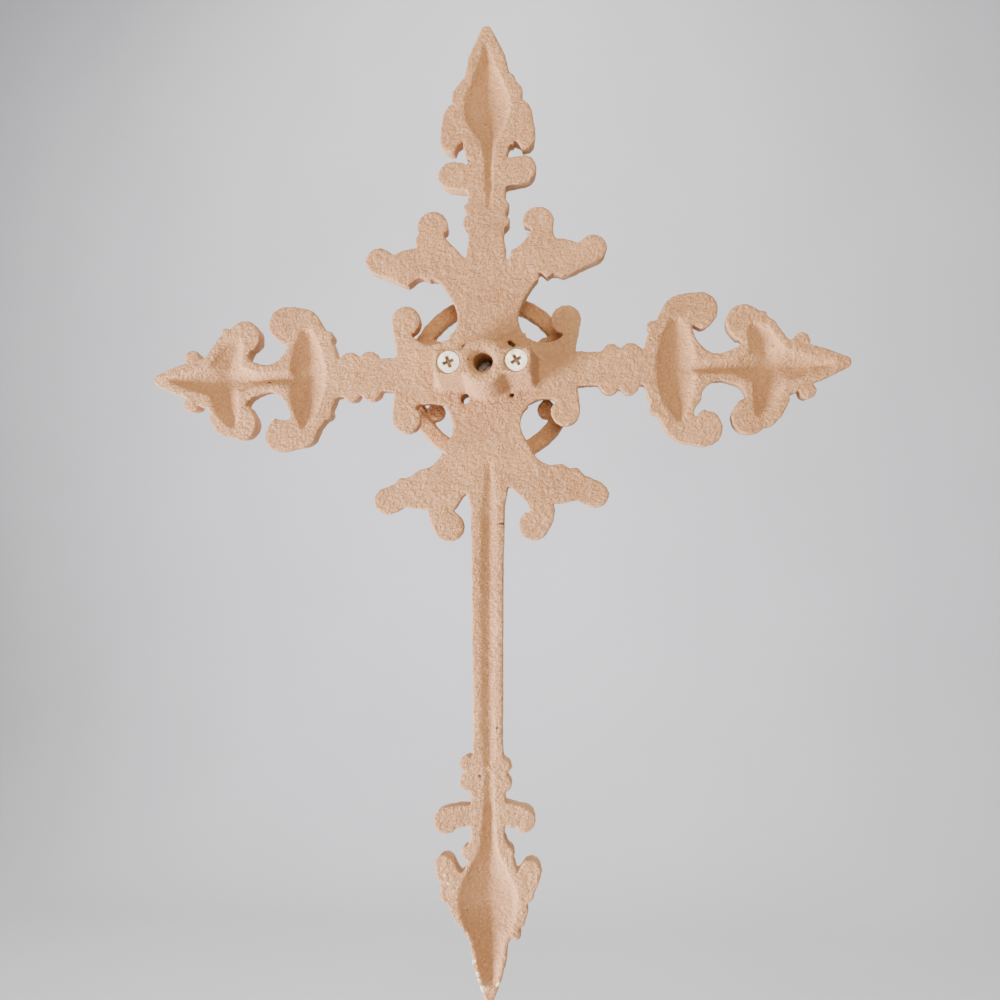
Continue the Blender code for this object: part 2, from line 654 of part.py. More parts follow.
def slab(u, v, length, width, near, far, turn):
    """A box in the drawing's plane, turned about its own middle, from one depth to another."""
    mesh = bmesh.new()
    bmesh.ops.create_cube(mesh, size=1.0)
    size = Matrix.Diagonal((length * MM, (far - near) * MM, width * MM, 1.0))
    spin = Matrix.Rotation(math.radians(turn), 4, "Y")
    move = Matrix.Translation(placed(u, v, (near + far) / 2))
    bmesh.ops.transform(mesh, matrix=move @ spin @ size, verts=mesh.verts)
    return mesh


def combine(target, tool, operation):
    """A Boolean of the target with a hidden helper."""
    tool.hide_render = True
    tool.display_type = "WIRE"
    modifier = target.modifiers.new(operation.lower() + "_" + tool.name, "BOOLEAN")
    modifier.operation = operation
    modifier.solver = "EXACT"
    modifier.object = tool


BACK_PLANE = BOSS_HEIGHT
PAD_DEPTH = BACK_PLANE + EDGE_THICKNESS + CROWN
SEAT_DEPTH = PAD_DEPTH + CLEARANCE
RING_BACK = BACK_PLANE + RING_SETBACK
RING_FRONT = RING_BACK + RING_THICKNESS
SCREW_PLACES = {"screw_left": -SCREW_SPACING / 2, "screw_right": SCREW_SPACING / 2}


def closed_circle(u, v, radius, step=ARC_STEP):
    points = circle(u, v, radius, step)
    return points + points[:1]


def casting_loops():
    """The casting's outline."""
    return union_loops(
        MIDDLE_BODY + paired(PAIRED_BODY),
        paired(PAIRED_BAYS),
        LONE_LOBES + paired(PAIRED_LOBES),
        NICKS,
    )


def all_hollows():
    """The hollows and grooves of the back, on smooth curves."""
    runs = [eased(discs) for discs in MIDDLE_HOLLOWS + GROOVES]
    for discs in PAIRED_HOLLOWS:
        runs += mirrored(eased(discs))
    return runs


def all_ribs():
    runs = [list(run) for run in MIDDLE_RIBS]
    for run in PAIRED_RIBS:
        runs += [run, [(-u, v) for u, v in run]]
    return runs


def hollow_share(points, hollows, hollow_loops):
    """How deep the hollows are at each point: nothing at the rim, the full depth over the spine."""
    edge = distances(points, hollow_loops)
    within = inside(points, hollow_loops)
    share = np.zeros(len(points))
    for discs in hollows:
        radius = max(r for _, _, r in discs)
        depth = HOLLOW_DEPTH if radius > GROOVE_MAX_RADIUS else GROOVE_DEPTH
        spine = [(u, v) for u, v, _ in discs]
        reach = distances(points, [spine], closed=False)
        share = np.maximum(share, np.where(reach < radius * SPINE_REACH, depth, 0.0))
    rise = edge / (edge + HOLLOW_WALL_RUN)
    return np.where(within, np.minimum(share * rise * HOLLOW_STEEPNESS, share), 0.0)


def front_lines(loops, ribs, eyes, pad_radius):
    """The runs of edges on the front: ribs and their feet, the scrolls' eyes and the pad's rim."""
    feet = [side for run in ribs for side in beside(run, RIB_STEP, RIB_HALF_WIDTH)]
    runs = clear_runs([along(run, RIB_STEP) for run in ribs] + feet, loops, RIB_MARGIN)
    for u, v, r in eyes:
        button = r * BUTTON_SHARE
        runs.append(closed_circle(u, v, button, EYE_STEP))
        runs.append(closed_circle(u, v, button * BUTTON_CROWN, EYE_CROWN_STEP))
    return runs + clear_runs([closed_circle(0, 0, pad_radius, PAD_STEP)], loops, RIM_STEP)


def front_corners(loops, eyes, runs):
    """The single points of the front: a row inside the rim, the eyes' middles and an even grid."""
    rim = [p + n * RIM_STEP for loop in loops for p, n in zip(loop, inward(loop))]
    points = spread(rim, loops, RIM_CLEAR, RIM_SPACING) + [Vector((u, v)) for u, v, _ in eyes]
    points = spread(points + grid(loops, GRID_STEP), loops, RIM_CLEAR, RIM_STEP)
    clear = distances(points, runs, closed=False) > RUN_GAP
    return [point for point, is_clear in zip(points, clear) if is_clear]


def back_corners(hollows, hollow_loops):
    """The single points of the back, all in its hollows: along the spines and up the walls."""
    wall = [p + n * WALL_STEP for loop in hollow_loops for p, n in zip(loop, inward(loop))]
    floor = [point for discs in hollows for point in along(discs, FLOOR_STEP)]
    return spread(floor + wall, hollow_loops, SHORTEST_EDGE, FLOOR_GAP)


def casting_mesh():
    loops = casting_loops()
    hollows = all_hollows()
    hollow_loops = union_loops(hollows)
    ribs = all_ribs()
    eyes = [disc for u, v, r in PAIRED_EYES for disc in ((u, v, r), (-u, v, r))]
    pad_radius = (SEAT_LENGTH / 2 + PAD_MARGIN) / FIT

    def front_depth(points):
        edge = distances(points, loops)
        depth = BACK_PLANE + EDGE_THICKNESS + CROWN * rounded(edge / CROWN_RUN)
        depth = depth + LEAF_SWELL * hollow_share(points, hollows, hollow_loops) / HOLLOW_DEPTH
        rib = np.clip(1 - distances(points, ribs, closed=False) / RIB_HALF_WIDTH, 0, 1)
        raised = RIB_HEIGHT * rib
        for u, v, r in eyes:
            reach = np.hypot(points[:, 0] - u, points[:, 1] - v) / (r * BUTTON_SHARE)
            raised = np.maximum(raised, BUTTON_HEIGHT * rounded(1 - reach))
        on_rim = edge < WELD
        on_pad = np.hypot(points[:, 0], points[:, 1]) < pad_radius + PAD_MARGIN / FIT
        depth = depth + np.where(on_rim, 0.0, raised)
        return np.where(on_pad & ~on_rim, PAD_DEPTH, depth)

    def back_depth(points):
        return BACK_PLANE + hollow_share(points, hollows, hollow_loops)

    front_runs = front_lines(loops, ribs, eyes, pad_radius)
    front = (front_runs, front_corners(loops, eyes, front_runs))
    back = ([loop + loop[:1] for loop in hollow_loops], back_corners(hollows, hollow_loops))
    return plate(loops, front, back, front_depth, back_depth, WALL_DRAFT)


def boss_stations():
    """How far the boss has spread at each depth, from its back face to its root in the casting."""
    return [
        (0.0, -BOSS_EDGE),
        (BOSS_EDGE, 0.0),
        (BOSS_HEIGHT - BOSS_FILLET, BOSS_DRAFT),
        (BOSS_HEIGHT - BOSS_FILLET * 0.3, BOSS_DRAFT + BOSS_FILLET * 0.3),
        (BOSS_HEIGHT, BOSS_DRAFT + BOSS_FILLET),
        (BOSS_HEIGHT + BOSS_ROOT, BOSS_DRAFT + BOSS_FILLET),
    ]


def boss_bar_mesh():
    """The two ears of the boss, as one drafted bar with rounded corners."""
    corner_u = BOSS_HALF_LENGTH - BOSS_EAR_CORNER
    corner_v = BOSS_EAR_HALF_HEIGHT - BOSS_EAR_CORNER
    mesh = bmesh.new()
    rings = []
    for depth, growth in boss_stations():
        ring = []
        for i in range(4 * BOSS_CORNER_SIDES):
            turn = 2 * math.pi * (i + 0.5) / (4 * BOSS_CORNER_SIDES)
            reach = BOSS_EAR_CORNER + growth
            u = math.copysign(corner_u, math.cos(turn)) + reach * math.cos(turn)
            v = math.copysign(corner_v, math.sin(turn)) + reach * math.sin(turn)
            ring.append(mesh.verts.new(placed(u, v, depth)))
        rings.append(ring)
    for near, far in zip(rings, rings[1:]):
        for i in range(len(near)):
            mesh.faces.new([near[i - 1], near[i], far[i], far[i - 1]])
    mesh.faces.new(rings[0])
    mesh.faces.new(rings[-1])
    bmesh.ops.recalc_face_normals(mesh, faces=mesh.faces)
    return mesh


def screw_stations(clearance, top):
    """The profile of a countersunk screw, from its top to its tip, grown by a clearance."""
    head = SCREW_HEAD_DIAMETER / 2 + clearance
    shank = SCREW_SHANK_DIAMETER / 2 + clearance
    rim = SCREW_SINK + SCREW_RIM + clearance
    tip = SCREW_SINK + SCREW_LENGTH + clearance
    return [
        (top, head),
        (rim, head),
        (rim + SCREW_CONE_HEIGHT, shank),
        (tip - SCREW_POINT, shank),
        (tip, shank * POINT_SHARE),
    ]


def centre_stations(clearance):
    """The profile of the slotted screw in the bore, grown by a clearance."""
    head = CENTRE_HEAD_DIAMETER / 2
    shank = CENTRE_SHANK_DIAMETER / 2 + clearance
    seat = CENTRE_SINK + CENTRE_HEAD_THICKNESS + clearance
    tip = CENTRE_SINK + CENTRE_SCREW_LENGTH + clearance
    return [
        (CENTRE_SINK, head),
        (seat, head),
        (seat, shank),
        (tip - CENTRE_POINT, shank),
        (tip, shank * POINT_SHARE),
    ]


def bore_stations():
    """The hanging bore: a chamfered mouth, a plain bore and the clearance hole in its floor."""
    bore = BORE_DIAMETER / 2
    floor = centre_stations(CLEARANCE)[1][0]
    hole = CENTRE_SHANK_DIAMETER / 2 + CLEARANCE
    return [
        (-OVERRUN, bore + BORE_CHAMFER + OVERRUN),
        (BORE_CHAMFER, bore),
        (floor, bore),
        (floor, hole),
        (RING_BACK, hole),
    ]


def ring_stations():
    """The ring's section: a flat back with eased edges and a rounded front."""
    inner = RING_OUTER_RADIUS - RING_WIDTH
    return [
        (RING_BACK, inner + RING_EASE),
        (RING_BACK + RING_EASE, inner),
        (RING_FRONT - RING_CROWN, inner),
        (RING_FRONT - RING_CROWN * 0.3, inner + RING_WIDTH * 0.18),
        (RING_FRONT, inner + RING_WIDTH * 0.5),
        (RING_FRONT - RING_CROWN * 0.3, RING_OUTER_RADIUS - RING_WIDTH * 0.18),
        (RING_FRONT - RING_CROWN, RING_OUTER_RADIUS),
        (RING_BACK + RING_EASE, RING_OUTER_RADIUS),
        (RING_BACK, RING_OUTER_RADIUS - RING_EASE),
    ]


def hub_stations():
    """The hub's profile, from its seat on the casting to the rosette's middle."""
    return [
        (SEAT_DEPTH, HUB_RADIUS),
        (RING_FRONT, HUB_RADIUS),
        (RING_FRONT + ROSETTE_HEIGHT * 0.5, HUB_RADIUS * 0.92),
        (RING_FRONT + ROSETTE_HEIGHT * 0.5, HUB_RADIUS * 0.62),
        (RING_FRONT + ROSETTE_HEIGHT * 0.2, HUB_RADIUS * 0.52),
        (RING_FRONT + ROSETTE_HEIGHT * 0.7, HUB_RADIUS * 0.42),
        (RING_FRONT + ROSETTE_HEIGHT, HUB_RADIUS * 0.2),
    ]


def curl_stations():
    """The profile of the round curls that grow inwards from the ring."""
    return [
        (RING_BACK, CURL_RADIUS - RING_EASE),
        (RING_BACK + RING_EASE, CURL_RADIUS),
        (RING_FRONT - RING_CROWN, CURL_RADIUS),
        (RING_FRONT - RING_CROWN * 0.3, CURL_RADIUS * 0.7),
        (RING_FRONT, CURL_RADIUS * 0.35),
    ]


def spoke_mesh(length, near, far, turn):
    """A spoke through the hub, with its front edges rounded."""
    mesh = slab(0.0, 0.0, length, SPOKE_HALF_WIDTH * 2, near, far, 0.0)
    middle = -(near + far) / 2 * MM
    front = [edge for edge in mesh.edges if all(vert.co.y < middle for vert in edge.verts)]
    long_edges = [edge for edge in front if abs(edge.verts[0].co.x - edge.verts[1].co.x) > MM]
    bmesh.ops.bevel(mesh, geom=long_edges, offset=SPOKE_ROUND * MM, segments=2, affect="EDGES", profile=0.5)
    spin = Matrix.Rotation(math.radians(turn), 3, "Y")
    bmesh.ops.rotate(mesh, cent=Vector(), matrix=spin, verts=mesh.verts)
    return mesh


def wheel_parts():
    """The shapes that are joined to the ring: spokes, their seats, the hub and the curls."""
    across = (RING_OUTER_RADIUS - RING_WIDTH / 2) * 2
    far = RING_FRONT - RING_CROWN * 0.5
    seat_width = (SPOKE_HALF_WIDTH - SEAT_INSET) * 2
    shapes = [turned(0.0, 0.0, hub_stations(), HUB_SIDES)]
    for turn in (0.0, 90.0):
        shapes.append(spoke_mesh(across, RING_BACK, far, turn))
        shapes.append(slab(0.0, 0.0, SEAT_LENGTH, seat_width, SEAT_DEPTH, RING_BACK + OVERRUN, turn))
    reach = RING_OUTER_RADIUS - RING_WIDTH - CURL_RADIUS + RING_EASE
    for tilt in (CURL_ANGLE, 180 - CURL_ANGLE, 180 + CURL_ANGLE, -CURL_ANGLE):
        u = reach * math.cos(math.radians(tilt))
        v = reach * math.sin(math.radians(tilt))
        shapes.append(turned(u, v, curl_stations(), CURL_SIDES))
        neck = abs(v) * CURL_NECK_SHARE
        neck_v = math.copysign(abs(v) - neck * CURL_NECK_DRIFT, v)
        near = RING_BACK + RING_EASE / 2
        shapes.append(slab(u, neck_v, CURL_NECK, neck, near, RING_FRONT - RING_CROWN, 0.0))
    return shapes


def screw_recess(u, v, turn):
    """The two crossing slots of a cross recess."""
    near = SCREW_SINK - OVERRUN
    far = SCREW_SINK + RECESS_DEPTH
    return [slab(u, v, RECESS_WIDTH, RECESS_SLOT, near, far, turn + quarter) for quarter in (0.0, 90.0)]


def build():
    clear_scene()
    bpy.context.scene.unit_settings.system = "METRIC"
    pieces = collection("wall_cross")
    helpers = collection("cutters")
    iron = material("brown_painted_iron", (0.42, 0.27, 0.17), 0.8, 0.0)
    ring_iron = material("brown_painted_ring", (0.38, 0.25, 0.16), 0.8, 0.0)
    zinc = material("zinc_plated_steel", (0.78, 0.77, 0.70), 0.35, 0.9)
    steel = material("dark_steel", (0.16, 0.15, 0.14), 0.5, 0.9)

    casting = as_object(casting_mesh(), "cross_casting", pieces, iron)
    stations = [(depth, BOSS_CENTRE_RADIUS + growth) for depth, growth in boss_stations()]
    middle = turned(0.0, 0.0, stations, BOSS_SIDES)
    combine(casting, as_object(middle, "boss_middle", helpers, None), "UNION")
    combine(casting, as_object(boss_bar_mesh(), "boss_bar", helpers, None), "UNION")
    bore = as_object(turned(0.0, 0.0, bore_stations()), "bore_cut", helpers, None)
    combine(casting, bore, "DIFFERENCE")
    ring = turned(0.0, 0.0, ring_stations(), RING_SIDES, is_ring=True)
    wheel = as_object(ring, "front_wheel", pieces, ring_iron)
    for i, mesh in enumerate(wheel_parts()):
        combine(wheel, as_object(mesh, f"wheel_shape_{i + 1}", helpers, None), "UNION")
    centre_hole = as_object(turned(0.0, 0.0, centre_stations(CLEARANCE)), "centre_hole_cut", helpers, None)
    combine(wheel, centre_hole, "DIFFERENCE")
    for name, u in SCREW_PLACES.items():
        seat_mesh = turned(u, 0.0, screw_stations(CLEARANCE, SCREW_SINK - OVERRUN))
        seat = as_object(seat_mesh, name + "_seat_cut", helpers, None)
        combine(casting, seat, "DIFFERENCE")
        combine(wheel, seat, "DIFFERENCE")
        screw = as_object(turned(u, 0.0, screw_stations(0.0, SCREW_SINK)), name, pieces, zinc)
        for i, mesh in enumerate(screw_recess(u, 0.0, SCREW_TURN)):
            slot = as_object(mesh, f"{name}_recess_cut_{i + 1}", helpers, None)
            combine(screw, slot, "DIFFERENCE")
    for i, (u, v, half_length, half_width, turn) in enumerate(FLAW_HOLES):
        mesh = oval(u, v, half_length, half_width, BACK_PLANE - FLAW_OVERRUN, PAD_DEPTH + OVERRUN, turn)
        flaw = as_object(mesh, f"small_hole_cut_{i + 1}", helpers, None)
        combine(casting, flaw, "DIFFERENCE")
    centre = as_object(turned(0.0, 0.0, centre_stations(0.0)), "centre_screw", pieces, steel)
    slot_near = CENTRE_SINK - OVERRUN
    slot_far = CENTRE_SINK + CENTRE_SLOT_DEPTH
    slot_length = CENTRE_HEAD_DIAMETER + 2 * OVERRUN
    slot_mesh = slab(0.0, 0.0, slot_length, CENTRE_SLOT, slot_near, slot_far, CENTRE_TURN)
    slot = as_object(slot_mesh, "centre_slot_cut", helpers, None)
    combine(centre, slot, "DIFFERENCE")


build()
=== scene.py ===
"""Looks of the cast iron wall cross: sand-cast brown paint, zinc screws, soft studio light."""

import math

import bmesh
import bpy
import numpy as np
from mathutils import Matrix, Vector, noise


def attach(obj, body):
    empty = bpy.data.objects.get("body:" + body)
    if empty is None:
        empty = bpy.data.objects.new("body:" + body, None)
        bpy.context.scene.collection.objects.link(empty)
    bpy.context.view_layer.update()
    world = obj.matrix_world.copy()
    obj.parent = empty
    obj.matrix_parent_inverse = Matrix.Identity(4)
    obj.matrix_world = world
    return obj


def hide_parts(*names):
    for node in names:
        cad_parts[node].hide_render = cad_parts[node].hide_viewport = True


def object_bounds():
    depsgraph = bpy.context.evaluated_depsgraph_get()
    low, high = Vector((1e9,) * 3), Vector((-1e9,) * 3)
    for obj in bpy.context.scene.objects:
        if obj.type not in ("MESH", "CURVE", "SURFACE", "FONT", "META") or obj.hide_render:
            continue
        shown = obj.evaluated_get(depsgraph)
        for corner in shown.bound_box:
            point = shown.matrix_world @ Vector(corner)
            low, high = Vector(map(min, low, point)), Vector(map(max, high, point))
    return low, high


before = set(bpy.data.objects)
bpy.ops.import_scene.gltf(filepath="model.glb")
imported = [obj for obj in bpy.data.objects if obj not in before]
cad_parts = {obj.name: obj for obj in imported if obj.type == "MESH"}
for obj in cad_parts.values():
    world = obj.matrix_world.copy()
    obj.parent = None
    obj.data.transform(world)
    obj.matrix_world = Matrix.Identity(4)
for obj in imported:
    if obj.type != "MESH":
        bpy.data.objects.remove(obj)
cad_box = [list(corner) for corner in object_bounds()]

MM = 0.001

# The photograph's camera: where it stood, its right, up and backward directions, and its lens.
CAMERA_PLACE = (-0.03867, 0.31813, -0.08622)
CAMERA_RIGHT = (-0.99526, -0.09723, -0.0026)
CAMERA_UP = (-0.01027, 0.07851, 0.99686)
CAMERA_BACK = (-0.09672, 0.99216, -0.07913)
CAMERA_LENS = 27.04
CAMERA_SENSOR = 36.0

# The depth of the casting's flat back in front of the wall, in millimetres.
BACK_PLANE = 19.0

# The boss, as the evening out sees it: its reach from the bore, in millimetres, and its weight.
BOSS_REACH = 26.0
BOSS_MARGIN = 1.0
BOSS_WEIGHT = 0.35
EVENING_ROUNDS = 12

# Voxel sizes in metres and the most triangles that a piece keeps.
CASTING_VOXEL = 0.00062
WHEEL_VOXEL = 0.00055
CASTING_TRIANGLES = 190000
WHEEL_TRIANGLES = 90000

# The sand-cast surface's unevenness: size of the lumps and their height in metres, and octaves.
CAST_LUMPS = [(0.0065, 0.00017, 2), (0.0021, 0.00017, 2), (0.0013, 0.00009, 1)]

# Scroll eyes on the front, as seen from behind: u, v and the head's radius in millimetres.
EYES = [
    (16.7, 95.4, 6.7),
    (50.3, 55.4, 6.5),
    (24.8, 70.0, 7.5),
    (37.3, 24.2, 7.0),
    (36.7, -20.3, 6.8),
    (96.2, 25.6, 8.6),
    (96.3, -27.6, 8.2),
    (116.0, 19.8, 7.9),
    (117.2, -22.6, 8.0),
    (47.4, -58.3, 6.3),
    (19.3, -71.0, 7.0),
    (17.3, -200.2, 5.4),
    (18.9, -220.5, 4.8),
]

# Leaves on the front: foot and tip of the midrib, and the half width at the leaf's shoulder.
LEAVES = [
    ((0.0, 112.0), (0.0, 166.0), 13.0),
    ((0.0, -222.0), (0.0, -274.0), 13.0),
    ((118.0, -0.4), (159.0, 0.0), 11.0),
    ((-118.0, -0.4), (-159.0, 0.0), 11.0),
]

# Veins of the leaves, in millimetres: how many on each side, how wide and how deep.
VEINS = 6
VEIN_START = 2.6
VEIN_HALF_WIDTH = 0.95
VEIN_DEPTH = 0.65

# Grooves of the scrolls, in millimetres.
SCROLL_HALF_WIDTH = 0.6
SCROLL_DEPTH = 0.55

# Beads beside the shaft's rib, in millimetres.
BEADS_TOP = -92.0
BEADS_FOOT = -190.0
BEADS_OFFSET = 3.9
BEAD_SPACING = 4.6
BEAD_HEIGHT = 0.5
BEAD_RADIUS = 1.1

# The ring's beads and the hub's petals: middle radius, reach and height in millimetres, and count.
RING_BEADS = (38.1, 2.4, 0.55, 22)
HUB_PETALS = (7.2, 1.9, 0.7, 4)


def new_object(name, mesh):
    made = bpy.data.objects.new(name, mesh)
    bpy.context.scene.collection.objects.link(made)
    return made


def evaluated_mesh(obj):
    """The object's mesh with its modifiers applied, as plain data."""
    graph = bpy.context.evaluated_depsgraph_get()
    graph.update()
    made = bpy.data.meshes.new_from_object(obj.evaluated_get(graph))
    obj.modifiers.clear()
    return made


def voxel_copy(node, name, voxel):
    """A closed copy of a CAD node made of small even faces."""
    mesh = bmesh.new()
    mesh.from_mesh(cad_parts[node].data)
    bmesh.ops.remove_doubles(mesh, verts=mesh.verts, dist=1e-6)
    data = bpy.data.meshes.new(name)
    mesh.to_mesh(data)
    mesh.free()
    made = new_object(name, data)
    modifier = made.modifiers.new("voxels", "REMESH")
    modifier.mode = "VOXEL"
    modifier.voxel_size = voxel
    made.data = evaluated_mesh(made)
    return made


def thinned(obj, most):
    """Takes the object's mesh down to a number of triangles."""
    obj.data.calc_loop_triangles()
    count = len(obj.data.loop_triangles)
    if count > most:
        modifier = obj.modifiers.new("thin", "DECIMATE")
        modifier.ratio = most / count
        obj.data = evaluated_mesh(obj)


def points_of(mesh):
    flat = np.zeros(len(mesh.vertices) * 3, np.float32)
    mesh.vertices.foreach_get("co", flat)
    return flat.reshape(-1, 3).astype(float)


def normals_of(mesh):
    flat = np.zeros(len(mesh.vertices) * 3, np.float32)
    mesh.vertex_normals.foreach_get("vector", flat)
    return flat.reshape(-1, 3).astype(float)


def set_points(mesh, points):
    mesh.vertices.foreach_set("co", points.astype(np.float32).ravel())
    mesh.update()


def relaxed(mesh, points, rounds, weight):
    """Points evened out over their neighbours, without shrinking the shape."""
    flat = np.zeros(len(mesh.edges) * 2, np.int32)
    mesh.edges.foreach_get("vertices", flat)
    a, b = flat.reshape(-1, 2).T
    count = len(points)
    degree = np.maximum(np.bincount(a, minlength=count) + np.bincount(b, minlength=count), 1)
    for step in range(rounds):
        share = 0.5 if step % 2 == 0 else -0.52
        for axis in range(3):
            column = points[:, axis]
            total = np.bincount(a, column[b], count) + np.bincount(b, column[a], count)
            points[:, axis] = column + share * weight * (total / degree - column)
    return points


def lumps(points, size, octaves, seed):
    """Smooth noise of about one unit either way, with lumps of that size in metres."""
    shift = Vector((seed * 3.7, seed * 1.3, seed * 2.1))
    return np.array([noise.fractal(Vector(p) / size + shift, 1.0, 2.0, octaves) for p in points])


def drawn(points):
    """The drawing's u and v, in millimetres, and the depth in front of the wall."""
    return -points[:, 0] / MM, points[:, 2] / MM, -points[:, 1] / MM


def line_distance(u, v, start, end):
    """The distance from points to a stretch of line, and how far along it they lie."""
    a, b = np.array(start, float), np.array(end, float)
    along = b - a
    share = np.clip(((u - a[0]) * along[0] + (v - a[1]) * along[1]) / (along @ along), 0, 1)
    return np.hypot(u - a[0] - share * along[0], v - a[1] - share * along[1]), share


def groove(distance, half_width, depth):
    """A round-bottomed groove."""
    return -depth * np.exp(-((distance / half_width) ** 2))


def leaf_veins(u, v):
    """Veins that leave each leaf's midrib and curve towards its tip."""
    total = np.zeros(len(u))
    for foot, tip, half in LEAVES:
        foot, tip = Vector(foot), Vector(tip)
        ahead = (tip - foot).normalized()
        across = Vector((-ahead.y, ahead.x))
        length = (tip - foot).length
        for i in range(VEINS):
            share = 0.06 + 0.145 * i
            root = foot + ahead * (length * share)
            reach = half * (1.0 - 0.85 * share)
            for side in (-1, 1):
                start = root + across * (side * VEIN_START)
                end = root + across * (side * reach) + ahead * (reach * 0.75)
                distance, _ = line_distance(u, v, start, end)
                total = np.minimum(total, groove(distance, VEIN_HALF_WIDTH, VEIN_DEPTH))
    return total


def scroll_grooves(u, v):
    """A spiral groove round the eye of each scroll."""
    total = np.zeros(len(u))
    for side in (-1, 1):
        for eye_u, eye_v, radius in EYES:
            du, dv = (u - side * eye_u) * side, v - eye_v
            reach = np.hypot(du, dv)
            turn = np.arctan2(dv, du) / (2 * math.pi)
            pitch = radius * 0.34
            phase = (reach - turn * pitch - radius * 0.62) / pitch
            distance = np.abs(phase - np.round(phase)) * pitch
            fade = np.clip((reach - radius * 0.5) / 0.8, 0, 1) * np.clip((radius * 0.95 - reach) / 0.8, 0, 1)
            total = np.minimum(total, groove(distance, SCROLL_HALF_WIDTH, SCROLL_DEPTH) * fade)
    return total


def beads(u, v):
    """A row of beads down each side of the long shaft's rib."""
    total = np.zeros(len(u))
    length = BEADS_TOP - BEADS_FOOT
    for offset in (-BEADS_OFFSET, BEADS_OFFSET):
        distance, share = line_distance(u, v, (offset, BEADS_TOP), (offset, BEADS_FOOT))
        wave = 0.5 + 0.5 * np.cos(share * length / BEAD_SPACING * 2 * math.pi)
        total = np.maximum(total, BEAD_HEIGHT * wave * np.exp(-((distance / BEAD_RADIUS) ** 2)))
    return total


def cast_surface(obj, weight_of, carve, seed):
    """Rounds the CAD's facets, carves the front and adds the unevenness of a sand casting."""
    mesh = obj.data
    points = points_of(mesh)
    points = relaxed(mesh, points, EVENING_ROUNDS, weight_of(points))
    set_points(mesh, points)
    normals = normals_of(mesh)
    u, v, _ = drawn(points)
    shift = carve(u, v, points, normals) * MM
    for size, height, octaves in CAST_LUMPS:
        seed += 1
        shift += lumps(points, size, octaves, seed) * height
    low, high = np.array(cad_box[0]), np.array(cad_box[1])
    set_points(mesh, np.clip(points + normals * shift[:, None], low, high))


def casting_weight(points):
    """How much each point of the casting may be evened out: less on the boss, which is crisper."""
    u, v, depth = drawn(points)
    on_boss = (np.hypot(u, v) < BOSS_REACH) & (depth < BACK_PLANE - BOSS_MARGIN)
    return np.where(on_boss, BOSS_WEIGHT, 1.0)


def casting_carving(u, v, points, normals):
    """The fine relief of the casting's front, which its back does not have."""
    facing = np.clip((-normals[:, 1] - 0.55) / 0.25, 0, 1)
    return facing * (leaf_veins(u, v) + scroll_grooves(u, v) + beads(u, v))


def wheel_carving(u, v, points, normals):
    """Beads round the ring's front and petals round its hub."""
    facing = np.clip((-normals[:, 1] - 0.3) / 0.4, 0, 1)
    reach, turn = np.hypot(u, v), np.arctan2(v, u)
    raised = np.zeros(len(u))
    for middle, width, height, count in (RING_BEADS, HUB_PETALS):
        band = np.exp(-(((reach - middle) / width) ** 4))
        raised += height * (np.abs(np.cos(turn * count)) - 0.6) * band
    return facing * raised


def whole_weight(points):
    return np.ones(len(points))


def make_casting():
    made = voxel_copy("cross_casting", "cast_cross", CASTING_VOXEL)
    cast_surface(made, casting_weight, casting_carving, 11)
    thinned(made, CASTING_TRIANGLES)
    made.data.shade_smooth()
    return made


def make_wheel():
    made = voxel_copy("front_wheel", "cast_wheel", WHEEL_VOXEL)
    cast_surface(made, whole_weight, wheel_carving, 29)
    thinned(made, WHEEL_TRIANGLES)
    made.data.shade_smooth()
    return made


# Screws: where they stand, how far they are turned, and their recesses, in millimetres.
SCREW_PLACES = {"screw_left": -14.9, "screw_right": 14.9}
SCREW_TURNS = {"screw_left": 20.0, "screw_right": 30.0}
SCREW_SIDES = 56
RECESS_REACH = 2.9
RECESS_HALF_WIDTH = 0.85
RECESS_DEPTH = 2.2
HEAD_DEPTH = 15.6
HEAD_SIDES = 48
SLOT_SIZE = (9.0, 2.4, 1.15)
SLOT_TURN = 45.0
SHARP_ANGLE = math.radians(32)


def lathe(u, v, stations, sides):
    """A closed turned mesh along Y from (depth, radius) stations in millimetres."""
    mesh = bmesh.new()
    rings = []
    for depth, radius in stations:
        ring = []
        for i in range(sides):
            turn = 2 * math.pi * i / sides
            place = (-(u + radius * math.cos(turn)) * MM, -depth * MM, (v + radius * math.sin(turn)) * MM)
            ring.append(mesh.verts.new(place))
        rings.append(ring)
    for near, far in zip(rings, rings[1:]):
        for i in range(sides):
            mesh.faces.new([near[i - 1], near[i], far[i], far[i - 1]])
    mesh.faces.new(rings[0])
    mesh.faces.new(rings[-1])
    bmesh.ops.recalc_face_normals(mesh, faces=mesh.faces)
    return mesh


def cross_cutter(u, v, reach, half, near, far, turn):
    """A cross-shaped plug that narrows as it goes down."""
    mesh = bmesh.new()
    rings = []
    for depth, scale in ((near, 1.12), (far, 0.55)):
        ring = []
        for i in range(4):
            for x, y in ((reach, half), (half, half)):
                a = math.radians(turn + 90 * i)
                du = (x * math.cos(a) - y * math.sin(a)) * scale
                dv = (x * math.sin(a) + y * math.cos(a)) * scale
                if x == reach:
                    eu = (x * math.cos(a) + y * math.sin(a)) * scale
                    ev = (x * math.sin(a) - y * math.cos(a)) * scale
                    ring.append(mesh.verts.new((-(u + eu) * MM, -depth * MM, (v + ev) * MM)))
                ring.append(mesh.verts.new((-(u + du) * MM, -depth * MM, (v + dv) * MM)))
        rings.append(ring)
    count = len(rings[0])
    for i in range(count):
        mesh.faces.new([rings[0][i - 1], rings[0][i], rings[1][i], rings[1][i - 1]])
    mesh.faces.new(rings[0])
    mesh.faces.new(rings[1])
    bmesh.ops.recalc_face_normals(mesh, faces=mesh.faces)
    return mesh


